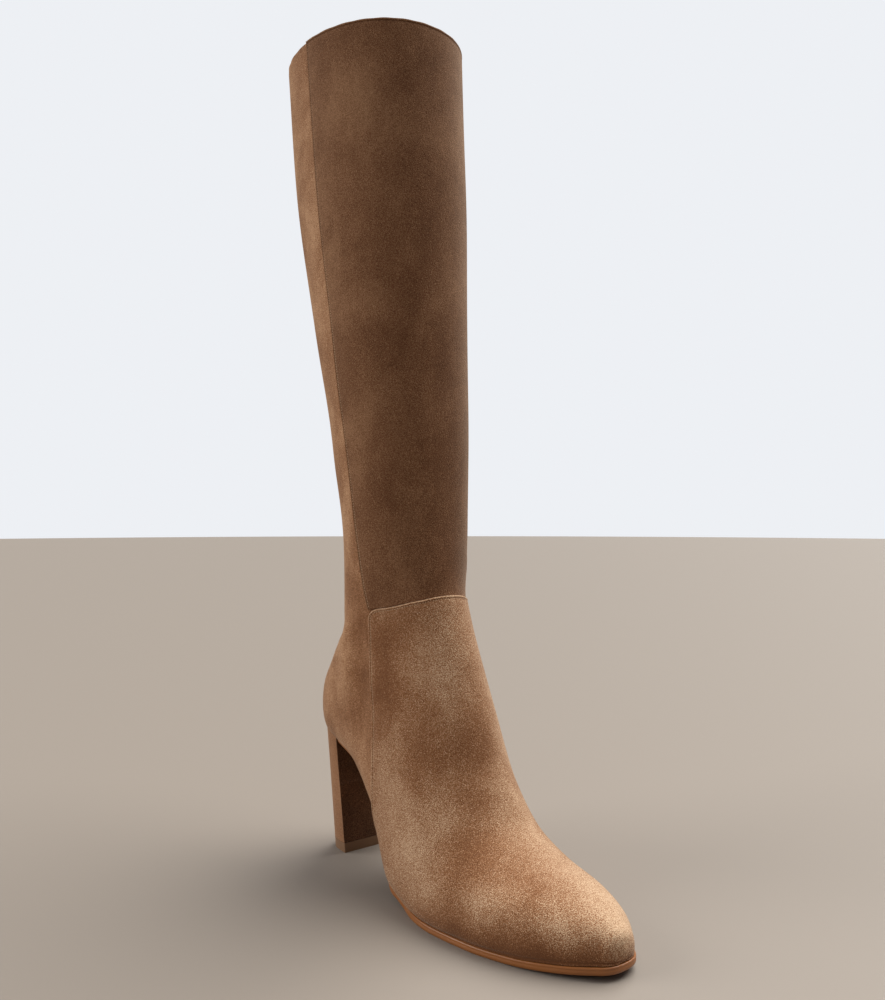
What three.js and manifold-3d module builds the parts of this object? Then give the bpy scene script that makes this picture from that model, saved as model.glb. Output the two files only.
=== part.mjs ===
// Right knee-high suede boot with a block heel, standing empty on its sole.
// Millimetres, +Z up, the toe points to -Y and the outer (lateral) side to -X.
// Inside this file "along" is the distance forward from the back of the heel counter.

import * as THREE from "three";
import { mergeVertices } from "three/addons/utils/BufferGeometryUtils.js";
import Module from "manifold-3d";

const wasm = await Module();
wasm.setup();

// Foot sizes
const FOOT_LENGTH = 227; // back of the heel counter to the tip of the toe, along the floor
const BALL_WIDTH = 76;
const HEEL_WIDTH = 68;
const INSTEP_HEIGHT = 152; // floor to the front of the ankle, at the top edge of the vamp
const SEAT_HEIGHT = 78; // floor to the upper's edge over the heel
const TOE_SPRING = 3.5;
const FEATHER_DROP = 6; // how far the last turns in below the upper's bottom edge

// Shaft sizes
const BOOT_HEIGHT = 487;
const ANKLE_HEIGHT = 192;
const ANKLE_DEPTH = 70;
const ANKLE_WIDTH = 71;
const ANKLE_CENTRE = 59; // middle of the ankle, along the foot
const CALF_DEPTH = 123;
const CALF_WIDTH = 97;
const SHAFT_LEAN = 35; // how far the collar's middle lies behind the ankle's

// Leather, sole and heel sizes
const WALL = 1.8; // upper leather with its lining
const VAMP_THICKNESS = 1.7;
const PANEL_THICKNESS = 0.9;
const CLEARANCE = 0.3;
const SOLE_THICKNESS = 3.5;
const WAIST_THICKNESS = 2.6;
const SOLE_LIP = 1; // how far the sole stands out past the vamp
const WAIST_INSET = 1.6; // how far the sole stays inside the upper under the arch
const INSOLE_THICKNESS = 2;
const TOP_PIECE_HEIGHT = 6;
const HEEL_BREAST = 29; // front face of the heel under the seat, along the foot
const HEEL_FOOT_BREAST = 25; // the same at its foot
const HEEL_FOOT_DEPTH = 22.5;
const HEEL_FOOT_WIDTH = 49;
const HEEL_FOOT_SHIFT = 4; // the heel's foot lies a little to the inner side
const HEEL_BACK_POWER = 3.2; // roundness of the back of the heel, 2 is an ellipse
const WAIST_END = 0.3; // share of the foot's length where the sole starts to widen
const FOREFOOT_START = 0.46;

// Mesh fineness
const RING_POINTS = 34;
const FORM_ROWS = 42;
const TOE_CROWDING = 1.5; // rows lie closer together towards the toe
const SEAT_STEPS = 36;
const HEEL_POINTS = 22;
const SOLE_POINTS = 64;
const FEATHER_STEPS = 400;
const HEEL_OVERRUN = 6; // the heel's block runs on this far above the seat before it is cut
const SLOPE_REACH = 0.5; // half the step over which the slope of the bottom edge is taken
const FAR = 400; // reach of the cutting blocks
const BRIM = 8; // the form runs on this far above the collar before it is cut level

// Colours, roughness as on suede and on a waxed leather edge
const SUEDE = 0x9a7048;
const DARK_SUEDE = 0x86603c;
const HEEL_SUEDE = 0x946b45;
const SOLE_EDGE = 0x96602f;
const LINING = 0xc7a882;
const TOP_PIECE_COLOUR = 0x8a6340;

// Sections of the foot, from the toe to the front of the ankle. Each runs from a low point at the back
// to a top point at the front. topAlong and lowAlong are shares of FOOT_LENGTH and topUp of INSTEP_HEIGHT.
// lowUp is the share of the way from the sole to the ankle. lateral and medial are half widths, as shares
// of BALL_WIDTH and further back of HEEL_WIDTH. widest is where along the section its widest place lies,
// and the powers round it above and below.
const FOOT_COLUMNS = [
  ...["at", "topAlong", "topUp", "lowAlong", "lowUp"],
  ...["lateral", "medial", "widest", "topPower", "lowPower"],
];
const TOE_TO_WAIST = [
  [0.005, 0.9955, 0.116, 0.994, 0.05, 0.07, 0.075, 0.4, 2.2, 2.6],
  [0.02, 0.978, 0.136, 0.969, 0, 0.145, 0.155, 0.38, 2.2, 2.8],
  [0.06, 0.931, 0.166, 0.906, 0, 0.285, 0.275, 0.36, 2.2, 3.0],
  [0.12, 0.861, 0.196, 0.814, 0, 0.415, 0.37, 0.34, 2.2, 3.2],
  [0.2, 0.773, 0.225, 0.703, 0, 0.51, 0.435, 0.32, 2.1, 3.2],
  [0.28, 0.677, 0.292, 0.58, 0, 0.555, 0.465, 0.3, 2.1, 3.3],
  [0.36, 0.602, 0.455, 0.43, 0, 0.53, 0.45, 0.3, 2.1, 3.3],
];
const WAIST_TO_ANKLE = [
  [0.42, 0.551, 0.66, 0.315, 0, 0.525, 0.48, 0.32, 2.1, 3.2],
  [0.48, 0.505, 0.845, 0.178, 0, 0.51, 0.49, 0.36, 2.1, 3.4],
  [0.53, 0.459, 1.0, 0.045, 0, 0.515, 0.51, 0.4, 2.1, 3.4],
  [0.57, 0.435, 1.09, 0.002, 0.17, 0.505, 0.505, 0.44, 2.1, 2.6],
  [0.595, 0.428, 1.14, 0.028, 0.31, 0.5, 0.505, 0.45, 2.1, 2.3],
  [0.62, 0.423, 1.19, 0.078, 0.42, 0.495, 0.5, 0.46, 2.1, 2.2],
  [0.645, 0.418, 1.25, 0.107, 0.57, 0.5, 0.5, 0.48, 2.1, 2.2],
];

// Sections of the shaft, from the ankle to the collar. Each column is the share of the way from the
// ankle's size to the collar's. tilt is how far the front lies above the back, as a share of ANKLE_DEPTH.
const SHAFT_COLUMNS = ["at", "up", "depth", "width", "lean", "tilt"];
const SHAFT_ROWS = [
  [0.67, 0, 0, 0, 0, 0.2],
  [0.73, 0.17, 0.16, 0.24, 0.15, 0],
  [0.81, 0.435, 0.5, 0.62, 0.46, 0],
  [0.91, 0.73, 0.84, 0.93, 0.8, 0],
  [1, 1, 1, 1, 1, 0],
];
const SHAFT_POWER = 2.1;

// The upper's bottom edge seen from the side: along as a share of FOOT_LENGTH, rise as a share of the
// way from the ball to the heel seat, spring as a share of TOE_SPRING.
const SEAT_COLUMNS = ["along", "rise", "spring"];
const SEAT_ROWS = [
  [-0.15, 1.04, 0],
  [0, 1, 0],
  [0.06, 0.985, 0],
  [0.12, 0.935, 0],
  [0.2, 0.795, 0],
  [0.28, 0.575, 0],
  [0.35, 0.32, 0],
  [0.41, 0.12, 0],
  [0.46, 0.03, 0],
  [0.52, 0, 0],
  [0.76, 0, 0],
  [0.84, 0, 0.12],
  [0.92, 0, 0.48],
  [1.02, 0, 1.05],
];

// The vamp's rear edge and, above its corner, the side seam where the shaft's front panel laps over the
// back one: along as a share of FOOT_LENGTH, up as a share of VAMP_CORNER_HEIGHT or, on the panel, of the
// way from there to the collar.
const VAMP_CORNER_HEIGHT = 152;
const VAMP_CORNER_ROUNDING = 7;
const VAMP_EDGE = [
  { along: 0.36, up: -0.1 },
  { along: 0.352, up: 0.35 },
  { along: 0.345, up: 0.6 },
  { along: 0.323, up: 0.76 },
];
const VAMP_CORNER = { along: 0.298, up: 1 };
const VAMP_TOP = [
  { along: 0.37, up: 1.034 },
  { along: 0.46, up: 1.06 },
  { along: 0.6, up: 1.064 },
];
const PANEL_EDGE = [
  { along: 0.298, up: 0 },
  { along: 0.275, up: 0.12 },
  { along: 0.248, up: 0.28 },
  { along: 0.205, up: 0.48 },
  { along: 0.11, up: 1.05 },
];

function named(columns, row) {
  return Object.fromEntries(columns.map((column, i) => [column, row[i]]));
}

// A curve through a column of values that never swings past them
function curveThrough(places, values) {
  const gaps = places.slice(1).map((place, i) => place - places[i]);
  const slopes = gaps.map((gap, i) => (values[i + 1] - values[i]) / gap);
  const tangents = values.map((value, i) => {
    if (i === 0) return slopes[0];
    if (i === slopes.length) return slopes[i - 1];
    if (slopes[i - 1] * slopes[i] <= 0) return 0;
    const before = 2 * gaps[i] + gaps[i - 1];
    const after = gaps[i] + 2 * gaps[i - 1];
    return (before + after) / (before / slopes[i - 1] + after / slopes[i]);
  });
  return (place) => {
    const last = gaps.length - 1;
    const i = Math.min(Math.max(places.findLastIndex((p) => p <= place), 0), last);
    const t = (place - places[i]) / gaps[i];
    const start = (1 + 2 * t) * (1 - t) ** 2 * values[i];
    const end = t ** 2 * (3 - 2 * t) * values[i + 1];
    const turn = t * (1 - t) ** 2 * tangents[i] - t ** 2 * (1 - t) * tangents[i + 1];
    return start + end + turn * gaps[i];
  };
}

const BALL_LEVEL = SOLE_THICKNESS + CLEARANCE;

// Height of the upper's bottom edge
const seatRows = SEAT_ROWS.map((row) => named(SEAT_COLUMNS, row));
const seatHeight = curveThrough(
  seatRows.map((row) => row.along * FOOT_LENGTH),
  seatRows.map((row) => BALL_LEVEL + row.rise * (SEAT_HEIGHT - BALL_LEVEL) + row.spring * TOE_SPRING),
);

function footSection(row, girth) {
  const r = named(FOOT_COLUMNS, row);
  const lowAlong = r.lowAlong * FOOT_LENGTH;
  return {
    at: r.at,
    topAlong: r.topAlong * FOOT_LENGTH,
    topHeight: r.topUp * INSTEP_HEIGHT,
    lowAlong,
    lowHeight: seatHeight(lowAlong) - FEATHER_DROP + r.lowUp * (ANKLE_HEIGHT - SEAT_HEIGHT),
    lateral: r.lateral * girth,
    medial: r.medial * girth,
    widest: r.widest,
    topPower: r.topPower,
    lowPower: r.lowPower,
  };
}

function shaftSection(row) {
  const r = named(SHAFT_COLUMNS, row);
  const centre = ANKLE_CENTRE - r.lean * SHAFT_LEAN;
  const halfDepth = (ANKLE_DEPTH + r.depth * (CALF_DEPTH - ANKLE_DEPTH)) / 2;
  const halfWidth = (ANKLE_WIDTH + r.width * (CALF_WIDTH - ANKLE_WIDTH)) / 2;
  const height = ANKLE_HEIGHT + r.up * (BOOT_HEIGHT - ANKLE_HEIGHT);
  const tilt = (r.tilt * ANKLE_DEPTH) / 2;
  return {
    at: r.at,
    topAlong: centre + halfDepth,
    topHeight: height + tilt,
    lowAlong: centre - halfDepth,
    lowHeight: height - tilt,
    lateral: halfWidth,
    medial: halfWidth,
    widest: 0.5,
    topPower: SHAFT_POWER,
    lowPower: SHAFT_POWER,
  };
}

const toe = {
  at: 0,
  topAlong: FOOT_LENGTH,
  topHeight: seatHeight(FOOT_LENGTH) + FEATHER_DROP,
  lowAlong: FOOT_LENGTH,
  lowHeight: seatHeight(FOOT_LENGTH) + FEATHER_DROP,
  lateral: 0,
  medial: 0,
  widest: 0.4,
  topPower: 2.2,
  lowPower: 2.6,
};
const sections = [
  toe,
  ...TOE_TO_WAIST.map((row) => footSection(row, BALL_WIDTH)),
  ...WAIST_TO_ANKLE.map((row) => footSection(row, HEEL_WIDTH)),
  ...SHAFT_ROWS.map(shaftSection),
];
const sectionCurves = Object.keys(toe).map((key) => [
  key,
  curveThrough(sections.map((s) => s.at), sections.map((s) => s[key])),
]);

function sectionAt(station) {
  return Object.fromEntries(sectionCurves.map(([key, curve]) => [key, curve(station)]));
}

// A point of the last's surface. turn is 0 at the low point and half a turn at the top point, and the
// first half turn runs up the lateral side.
function sectionPoint(section, turn) {
  const rise = -Math.cos(turn);
  const aside = -Math.sin(turn);
  const power = rise > 0 ? section.topPower : section.lowPower;
  const reach = Math.abs(rise) ** (2 / power);
  const share = rise > 0 ? section.widest + (1 - section.widest) * reach : section.widest * (1 - reach);
  const half = aside > 0 ? section.medial : section.lateral;
  const along = section.lowAlong + share * (section.topAlong - section.lowAlong);
  const height = section.lowHeight + share * (section.topHeight - section.lowHeight);
  return new THREE.Vector3(Math.sign(aside) * half * Math.abs(aside) ** (2 / power), -along, height);
}

function solidOf(geometry) {
  const bare = geometry.clone();
  bare.deleteAttribute("normal");
  bare.deleteAttribute("uv");
  const merged = mergeVertices(bare, 1e-3);
  const vertProperties = new Float32Array(merged.attributes.position.array);
  const triVerts = new Uint32Array(merged.index.array);
  return new wasm.Manifold(new wasm.Mesh({ numProp: 3, vertProperties, triVerts }));
}

function meshOf(name, solid, color, roughness) {
  const { vertProperties, triVerts } = solid.getMesh();
  const geometry = new THREE.BufferGeometry();
  geometry.setAttribute("position", new THREE.BufferAttribute(vertProperties, 3));
  geometry.setIndex(new THREE.BufferAttribute(triVerts, 1));
  const mesh = new THREE.Mesh(geometry, new THREE.MeshStandardMaterial({ color, roughness, metalness: 0 }));
  mesh.name = name;
  return mesh;
}

// The skin over closed rings of equal length, with a fan to a last point at each end
function skin(rings, startPoint, endPoint) {
  const count = rings[0].length;
  const points = [startPoint, ...rings.flat(), endPoint];
  const end = points.length - 1;
  const index = [];
  for (let j = 0; j < count; j += 1) {
    const next = (j + 1) % count;
    index.push(0, 1 + next, 1 + j);
    for (let i = 0; i < rings.length - 1; i += 1) {
      const a = 1 + i * count + j;
      const b = 1 + i * count + next;
      index.push(a, b, b + count, a, b + count, a + count);
    }
    const lastRing = 1 + (rings.length - 1) * count;
    index.push(end, lastRing + j, lastRing + next);
  }
  return new THREE.BufferGeometry().setFromPoints(points).setIndex(index);
}

// The last from the toe to above the collar
function lastGeometry() {
  const rings = [];
  for (let i = 1; i <= FORM_ROWS; i += 1) {
    const section = sectionAt((i / FORM_ROWS) ** TOE_CROWDING);
    const ring = [];
    for (let j = 0; j < RING_POINTS; j += 1) {
      ring.push(sectionPoint(section, (2 * Math.PI * j) / RING_POINTS));
    }
    rings.push(ring);
  }
  const lift = new THREE.Vector3(0, 0, BRIM);
  const brim = rings[FORM_ROWS - 1].map((point) => point.clone().add(lift));
  rings.push(brim);
  const tip = sectionPoint(sectionAt(0), 0);
  const lid = brim.reduce((sum, point) => sum.add(point), new THREE.Vector3()).divideScalar(RING_POINTS);
  return skin(rings, tip, lid);
}

const last = lastGeometry();
last.computeVertexNormals();

// The last grown by a thickness, or shrunk by a negative one
function grownLast(growth) {
  const grown = last.clone();
  const position = grown.attributes.position;
  const normal = last.attributes.normal;
  for (let i = 0; i < position.count; i += 1) {
    const moved = new THREE.Vector3().fromBufferAttribute(position, i);
    moved.addScaledVector(new THREE.Vector3().fromBufferAttribute(normal, i), growth);
    position.setXYZ(i, moved.x, moved.y, moved.z);
  }
  return solidOf(grown);
}

// A block across the boot with an outline drawn in its side view, along and up
function sideBlock(shape) {
  const geometry = new THREE.ExtrudeGeometry(shape, { depth: 2 * FAR, bevelEnabled: false, curveSegments: 5 });
  geometry.translate(0, 0, -FAR);
  const axes = new THREE.Matrix4().makeBasis(
    new THREE.Vector3(0, -1, 0),
    new THREE.Vector3(0, 0, 1),
    new THREE.Vector3(-1, 0, 0),
  );
  return solidOf(geometry.applyMatrix4(axes));
}

const BACK_END = -0.12 * FOOT_LENGTH;
const FRONT_END = 1.1 * FOOT_LENGTH;

// Points of the upper's bottom edge line, moved down by a depth square to the line
function seatLine(depthAt) {
  const points = [];
  for (let i = 0; i <= SEAT_STEPS; i += 1) {
    const along = BACK_END + ((FRONT_END - BACK_END) * i) / SEAT_STEPS;
    const climb = seatHeight(along + SLOPE_REACH) - seatHeight(along - SLOPE_REACH);
    const fall = new THREE.Vector2(climb, -2 * SLOPE_REACH).normalize().multiplyScalar(depthAt(along));
    points.push(new THREE.Vector2(along, seatHeight(along)).add(fall));
  }
  return points;
}

// A slab that follows the bottom edge line between two depths under it
function seatSlab(topDepthAt, bottomDepthAt) {
  return sideBlock(new THREE.Shape([...seatLine(topDepthAt), ...seatLine(bottomDepthAt).reverse()]));
}

// Everything between a depth under the bottom edge line and a height
function blockAboveSeat(depth, height) {
  const line = seatLine(() => depth);
  const corners = [
    new THREE.Vector2(FRONT_END, height),
    new THREE.Vector2(-FAR, height),
    new THREE.Vector2(-FAR, line[0].y),
  ];
  return sideBlock(new THREE.Shape([...line, ...corners]));
}

// The hollow upper: open at the collar and, where the sole and heel close it, underneath
function makeUpper() {
  return grownLast(0).subtract(grownLast(-WALL)).intersect(blockAboveSeat(0, BOOT_HEIGHT));
}

const vampPoint = ({ along, up }) => new THREE.Vector2(along * FOOT_LENGTH, up * VAMP_CORNER_HEIGHT);

// The line of the vamp's top edge, from its rounded corner to past the front
function vampOutline(shape) {
  const corner = vampPoint(VAMP_CORNER);
  const first = vampPoint(VAMP_TOP[0]);
  const fromBelow = vampPoint(VAMP_EDGE.at(-1)).sub(corner).setLength(VAMP_CORNER_ROUNDING).add(corner);
  const toFront = first.clone().sub(corner).setLength(VAMP_CORNER_ROUNDING).add(corner);
  shape.splineThru([...VAMP_EDGE.slice(1).map(vampPoint), fromBelow]);
  shape.quadraticCurveTo(corner.x, corner.y, toFront.x, toFront.y);
  shape.splineThru(VAMP_TOP.map(vampPoint));
  return shape;
}

// The vamp lies over the front of the upper, from the toe up to the front of the ankle
function makeVamp() {
  const start = vampPoint(VAMP_EDGE[0]);
  const shape = new THREE.Shape().moveTo(start.x, start.y);
  vampOutline(shape);
  shape.lineTo(FRONT_END, vampPoint(VAMP_TOP.at(-1)).y);
  shape.lineTo(FRONT_END, start.y);
  const skinLayer = grownLast(CLEARANCE + VAMP_THICKNESS).subtract(grownLast(CLEARANCE));
  return skinLayer.intersect(sideBlock(shape)).intersect(blockAboveSeat(0, BOOT_HEIGHT));
}

// The shaft's front panel, lapped over the back one at both side seams, and butted to the vamp's top edge
function makeFrontPanel() {
  const edge = PANEL_EDGE.map(
    ({ along, up }) =>
      new THREE.Vector2(along * FOOT_LENGTH, VAMP_CORNER_HEIGHT + up * (BOOT_HEIGHT - VAMP_CORNER_HEIGHT)),
  );
  const base = edge[0].clone().setY(0);
  const panel = new THREE.Shape().moveTo(base.x, base.y).lineTo(edge[0].x, edge[0].y);
  panel.splineThru(edge.slice(1));
  panel.lineTo(FRONT_END, edge.at(-1).y).lineTo(FRONT_END, base.y);
  const vampCorner = vampPoint(VAMP_CORNER);
  const cut = new THREE.Shape().moveTo(-FAR, -FAR).lineTo(-FAR, vampCorner.y + CLEARANCE);
  const start = vampCorner.clone().add(new THREE.Vector2(0, CLEARANCE));
  cut.lineTo(start.x, start.y);
  cut.splineThru(VAMP_TOP.map((point) => vampPoint(point).add(new THREE.Vector2(0, CLEARANCE))));
  cut.lineTo(FRONT_END, vampPoint(VAMP_TOP.at(-1)).y + CLEARANCE).lineTo(FRONT_END, -FAR);
  const skinLayer = grownLast(CLEARANCE + PANEL_THICKNESS).subtract(grownLast(CLEARANCE));
  const trimmed = skinLayer.intersect(sideBlock(panel)).subtract(sideBlock(cut));
  return trimmed.intersect(blockAboveSeat(0, BOOT_HEIGHT));
}

// How far along a section, as a share, it meets the bottom edge line, or null where it lies above the line
function seatCrossing(section) {
  const miss = (share) => {
    const along = section.lowAlong + share * (section.topAlong - section.lowAlong);
    return section.lowHeight + share * (section.topHeight - section.lowHeight) - seatHeight(along);
  };
  let low = 0;
  let high = section.widest;
  if (miss(low) > 0) return null;
  for (let i = 0; i < 40; i += 1) {
    const middle = (low + high) / 2;
    if (miss(middle) > 0) high = middle;
    else low = middle;
  }
  return low;
}

// Plan outline of the upper's bottom edge, from the toe back on the lateral side, forward on the medial
function featherLoop() {
  const lateral = [];
  const medial = [];
  for (let i = 1; i <= FEATHER_STEPS; i += 1) {
    const section = sectionAt((i / FEATHER_STEPS) ** TOE_CROWDING);
    const share = seatCrossing(section);
    if (share === null && lateral.length > 0) break;
    if (share === null) continue;
    const out = (1 - (1 - share / section.widest) ** section.lowPower) ** (1 / section.lowPower);
    const y = -(section.lowAlong + share * (section.topAlong - section.lowAlong));
    lateral.push(new THREE.Vector2(-out * section.lateral, y));
    medial.push(new THREE.Vector2(out * section.medial, y));
  }
  return [...lateral, ...medial.reverse()];
}

const feather = featherLoop();

// Evenly spaced points on a line through points of the plan
function evenly(points, count, closed) {
  const flat = points.map((point) => new THREE.Vector3(point.x, point.y, 0));
  const curve = new THREE.CatmullRomCurve3(flat, closed, "centripetal");
  return curve.getSpacedPoints(count).map((point) => new THREE.Vector2(point.x, point.y));
}

// A closed plan outline moved outwards by a reach that depends on the place along the foot
function widened(loop, reachAt) {
  return loop.map((point, i) => {
    const before = loop.at(i - 1);
    const after = loop[(i + 1) % loop.length];
    const outward = new THREE.Vector2(before.y - after.y, after.x - before.x).normalize();
    return point.clone().addScaledVector(outward, reachAt(-point.y));
  });
}

const BREAST_SLOPE = (HEEL_BREAST - HEEL_FOOT_BREAST) / (SEAT_HEIGHT - TOP_PIECE_HEIGHT);
const breastAt = (height) => HEEL_FOOT_BREAST + (height - TOP_PIECE_HEIGHT) * BREAST_SLOPE;

// Everything behind the heel's flat front face and a gap
function blockBehindBreast(gap) {
  const top = 2 * SEAT_HEIGHT;
  const shape = new THREE.Shape().moveTo(-FAR, 0).lineTo(breastAt(0) + gap, 0);
  return sideBlock(shape.lineTo(breastAt(top) + gap, top).lineTo(-FAR, top));
}

// The sole stands out past the vamp round the forefoot, and is thin and tucked under at the waist
function makeOutsole() {
  const forefoot = (along) =>
    THREE.MathUtils.smoothstep(along, WAIST_END * FOOT_LENGTH, FOREFOOT_START * FOOT_LENGTH);
  const lip = CLEARANCE + VAMP_THICKNESS + SOLE_LIP;
  const reach = (along) => -WAIST_INSET + (lip + WAIST_INSET) * forefoot(along);
  const thickness = (along) => WAIST_THICKNESS + (SOLE_THICKNESS - WAIST_THICKNESS) * forefoot(along);
  const outline = new THREE.Shape(widened(evenly(feather, SOLE_POINTS, true).slice(1), reach));
  const plan = new THREE.ExtrudeGeometry(outline, { depth: 2 * SEAT_HEIGHT, bevelEnabled: false });
  const slab = seatSlab(() => CLEARANCE, (along) => CLEARANCE + thickness(along));
  const pillar = solidOf(plan.translate(0, 0, -SEAT_HEIGHT));
  return pillar.intersect(slab).subtract(blockBehindBreast(CLEARANCE));
}

// The insole lies inside the upper, level with its bottom edge
function makeInsole() {
  const slab = seatSlab(() => -INSOLE_THICKNESS, () => 0);
  return grownLast(-WALL - CLEARANCE).intersect(slab);
}

// Outline of the heel under the seat: flat in front, and as the upper's edge behind
function heelTopRing() {
  const back = feather.filter((point) => -point.y < HEEL_BREAST);
  const half = (side) => back.filter((point) => Math.sign(point.x) === side);
  const corner = (side) => new THREE.Vector2(half(side)[side < 0 ? 0 : half(side).length - 1].x, -HEEL_BREAST);
  return evenly([corner(-1), ...half(-1), ...half(1), corner(1)], HEEL_POINTS, false);
}

// Outline of the heel at its foot: flat in front, with round corners behind
function heelFootRing() {
  const points = [];
  for (let i = 0; i <= 8 * HEEL_POINTS; i += 1) {
    const turn = (Math.PI * i) / (8 * HEEL_POINTS);
    const across = -Math.sign(Math.cos(turn)) * Math.abs(Math.cos(turn)) ** (2 / HEEL_BACK_POWER);
    const behind = Math.sin(turn) ** (2 / HEEL_BACK_POWER);
    const along = HEEL_FOOT_BREAST - HEEL_FOOT_DEPTH * behind;
    points.push(new THREE.Vector2(HEEL_FOOT_SHIFT + (across * HEEL_FOOT_WIDTH) / 2, -along));
  }
  return evenly(points, HEEL_POINTS, false);
}

// The heel's outline at a height, on straight lines between its foot and the seat
function heelRing(height) {
  const foot = heelFootRing();
  const share = (height - TOP_PIECE_HEIGHT) / (SEAT_HEIGHT - TOP_PIECE_HEIGHT);
  return heelTopRing().map((point, i) => {
    const mixed = foot[i].clone().lerp(point, share);
    return new THREE.Vector3(mixed.x, mixed.y, height);
  });
}

function heelBlock(low, high) {
  const rings = [heelRing(high), heelRing(low)];
  const middle = (ring) => ring.reduce((sum, p) => sum.add(p), new THREE.Vector3()).divideScalar(ring.length);
  return solidOf(skin(rings, middle(rings[0]), middle(rings[1])));
}

function makeHeel() {
  const block = heelBlock(TOP_PIECE_HEIGHT + CLEARANCE, SEAT_HEIGHT + HEEL_OVERRUN);
  return block.subtract(blockAboveSeat(CLEARANCE, 2 * SEAT_HEIGHT));
}

const meshes = [
  meshOf("upper", makeUpper(), LINING, 0.9),
  meshOf("vamp", makeVamp(), SUEDE, 0.95),
  meshOf("front_panel", makeFrontPanel(), DARK_SUEDE, 0.95),
  meshOf("insole", makeInsole(), LINING, 0.8),
  meshOf("outsole", makeOutsole(), SOLE_EDGE, 0.5),
  meshOf("heel", makeHeel(), HEEL_SUEDE, 0.95),
  meshOf("top_piece", heelBlock(0, TOP_PIECE_HEIGHT), TOP_PIECE_COLOUR, 0.6),
];

// The part's origin is on the floor under the middle of the whole boot
const boot = new THREE.Group();
const box = new THREE.Box3();
for (const mesh of meshes) {
  boot.add(mesh);
  box.expandByObject(mesh);
}
const middle = box.getCenter(new THREE.Vector3());
boot.position.set(-middle.x, -middle.y, 0);

export default boot;
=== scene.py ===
import math
import bpy
import numpy as np
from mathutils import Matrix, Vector, kdtree


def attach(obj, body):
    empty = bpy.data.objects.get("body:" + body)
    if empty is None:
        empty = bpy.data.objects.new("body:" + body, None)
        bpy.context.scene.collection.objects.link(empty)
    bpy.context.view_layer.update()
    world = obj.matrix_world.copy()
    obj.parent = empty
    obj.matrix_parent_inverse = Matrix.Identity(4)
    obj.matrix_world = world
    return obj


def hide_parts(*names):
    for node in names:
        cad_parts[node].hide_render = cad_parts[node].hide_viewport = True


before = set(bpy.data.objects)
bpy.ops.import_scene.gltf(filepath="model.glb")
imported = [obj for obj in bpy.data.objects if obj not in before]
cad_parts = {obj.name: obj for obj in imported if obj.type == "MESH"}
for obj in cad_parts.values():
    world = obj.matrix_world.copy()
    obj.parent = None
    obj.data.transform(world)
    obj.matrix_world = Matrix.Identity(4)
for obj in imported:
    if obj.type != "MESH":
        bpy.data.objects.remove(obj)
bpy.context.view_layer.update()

# Camera: it stands where the photographer's stood against the boot, low and a little to the outer side
# of the toe, and only turns and widens so that the whole boot is in view.
CAMERA_PLACE = Vector((-0.311, -0.404, 0.206))
CAMERA_AZIMUTH = math.radians(-37.6)
CAMERA_PITCH = math.radians(0.9)
CAMERA_LENS = 32.6
camera = bpy.data.cameras.new("camera")
camera.sensor_fit = "VERTICAL"
camera.sensor_height = 36
camera.lens = CAMERA_LENS
camera.clip_start = 0.01
camera_stand = bpy.data.objects.new("camera", camera)
camera_stand.location = CAMERA_PLACE
camera_stand.rotation_euler = (math.pi / 2 + CAMERA_PITCH, 0, CAMERA_AZIMUTH)
bpy.context.collection.objects.link(camera_stand)
bpy.context.scene.camera = camera_stand
bpy.context.scene.view_settings.view_transform = "Standard"


# Floor: a large plain pale sheet, matt, below a pale cool backdrop. It is the stage and no piece of the
# boot.
FLOOR_REACH = 8
FLOOR_SIDES = 96
FLOOR_COLOUR = (0.25, 0.216, 0.183)


def mesh_piece(name, points, faces, material):
    mesh = bpy.data.meshes.new(name)
    mesh.from_pydata([tuple(p) for p in points], [], faces)
    mesh.validate()
    mesh.materials.append(material)
    piece = bpy.data.objects.new(name, mesh)
    bpy.context.collection.objects.link(piece)
    return piece


floor_turns = np.linspace(0, 2 * math.pi, FLOOR_SIDES, endpoint=False)
floor_rim = FLOOR_REACH * np.stack([np.cos(floor_turns), np.sin(floor_turns), 0 * floor_turns], 1)
floor_paint = bpy.data.materials.new("pale_floor")
floor_paint.use_nodes = True
floor_shader = floor_paint.node_tree.nodes["Principled BSDF"]
floor_shader.inputs["Base Color"].default_value = (*FLOOR_COLOUR, 1)
floor_shader.inputs["Roughness"].default_value = 0.6
mesh_piece("floor", floor_rim, [tuple(range(FLOOR_SIDES))], floor_paint)

# Light: two broad soft lights from the sides and a faint one from above, in a dim room. The backdrop is
# bright to the camera alone, so that it doesn't light the boot.
BACKDROP = (0.85, 0.87, 0.905, 1)
ROOM = (0.9, 0.93, 1, 1)
ROOM_STRENGTH = 0.22


def add_node(tree, kind, inputs=(), **settings):
    node = tree.nodes.new(kind)
    for name, value in settings.items():
        setattr(node, name, value)
    for name, value in dict(inputs).items():
        if isinstance(value, bpy.types.NodeSocket):
            tree.links.new(value, node.inputs[name])
        else:
            node.inputs[name].default_value = value
    return node


world = bpy.data.worlds.new("backdrop")
world.use_nodes = True
sky = world.node_tree
backdrop = sky.nodes["Background"]
backdrop.inputs["Color"].default_value = BACKDROP
room = add_node(sky, "ShaderNodeBackground", {"Color": ROOM, "Strength": ROOM_STRENGTH})
seen = add_node(sky, "ShaderNodeLightPath").outputs["Is Camera Ray"]
shown = {"Fac": seen, 1: room.outputs["Background"], 2: backdrop.outputs["Background"]}
either = add_node(sky, "ShaderNodeMixShader", shown)
sky.links.new(either.outputs["Shader"], sky.nodes["World Output"].inputs["Surface"])
bpy.context.scene.world = world


def soft_light(name, towards, strength, spread, colour):
    lamp = bpy.data.lights.new(name, "SUN")
    lamp.energy = strength
    lamp.angle = math.radians(spread)
    lamp.color = colour
    holder = bpy.data.objects.new(name, lamp)
    holder.rotation_euler = Vector(towards).to_track_quat("-Z", "Y").to_euler()
    bpy.context.collection.objects.link(holder)


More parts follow.
